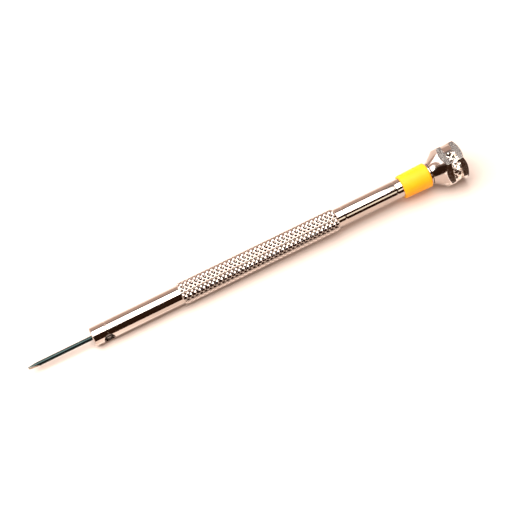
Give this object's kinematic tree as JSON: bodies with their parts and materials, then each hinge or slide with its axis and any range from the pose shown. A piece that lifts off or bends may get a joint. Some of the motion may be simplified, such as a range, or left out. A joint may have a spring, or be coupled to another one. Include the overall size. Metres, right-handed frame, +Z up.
{
  "type": "watchmaker screwdriver",
  "caption": "Slim fine-blade screwdriver with a knurled grip, a colour sleeve and a flat-sided swivel head on a ball race, lying on its side.",
  "frame": {"origin": "middle of the bottom of the bounding box, on the surface that the driver lies on", "axes": "+X runs from the blade to the head, leaning up by 1.49 degrees as the driver lies on its nose edge and one flat of its head; +Z is up; the set screw faces -Y"},
  "size_m": [0.0978, 0.0094, 0.0082],
  "materials": {
    "nickel_plate": "bright nickel plate on brass",
    "chrome_plate": "bright plate with lightly worn flats",
    "blued_steel": "hardened and blued, ground at the tip",
    "bright_steel": "bright turned steel",
    "yellow_plastic": "satin yellow plastic",
    "bearing_brass": "turned brass"
  },
  "bodies": {
    "barrel": {"barrel": "nickel_plate", "colour_sleeve": "yellow_plastic", "spindle_bush": "bearing_brass", "bearing_outer_race": "bright_steel"},
    "head": {"swivel_head": "chrome_plate", "thrust_collar": "chrome_plate", "head_spindle": "bright_steel", "spindle_washer": "bright_steel", "spindle_circlip": "bright_steel", "bearing_inner_race": "bright_steel"},
    "ball_cage": {"bearing_cage": "bearing_brass", "bearing_ball_1": "bright_steel", "bearing_ball_2": "bright_steel", "bearing_ball_3": "bright_steel", "bearing_ball_4": "bright_steel", "bearing_ball_5": "bright_steel", "bearing_ball_6": "bright_steel", "bearing_ball_7": "bright_steel"},
    "blade": {"blade": "blued_steel"},
    "set_screw": {"blade_set_screw": "bright_steel"}
  },
  "joints": [
    {"name": "head_swivel", "type": "hinge", "parent": "barrel", "child": "head", "pos_m": [0.04164, 0, 0.00399], "axis": [0.9997, 0, 0.026], "continuous": true},
    {"name": "cage_orbit", "type": "hinge", "parent": "barrel", "child": "ball_cage", "pos_m": [0.03734, 0, 0.00388], "axis": [0.9997, 0, 0.026], "continuous": true},
    {"name": "blade_slide", "type": "slide", "parent": "barrel", "child": "blade", "axis": [-0.9997, 0, -0.026], "range_m": [0, 0.008]},
    {"name": "set_screw_turn", "type": "hinge", "parent": "barrel", "child": "set_screw", "pos_m": [-0.03189, 0, 0.00207], "axis": [0, -1, 0], "range_deg": [0, 750]}
  ],
  "couplings": [
    {"joint": "cage_orbit", "follows": "head_swivel", "ratio": 0.378}
  ]
}
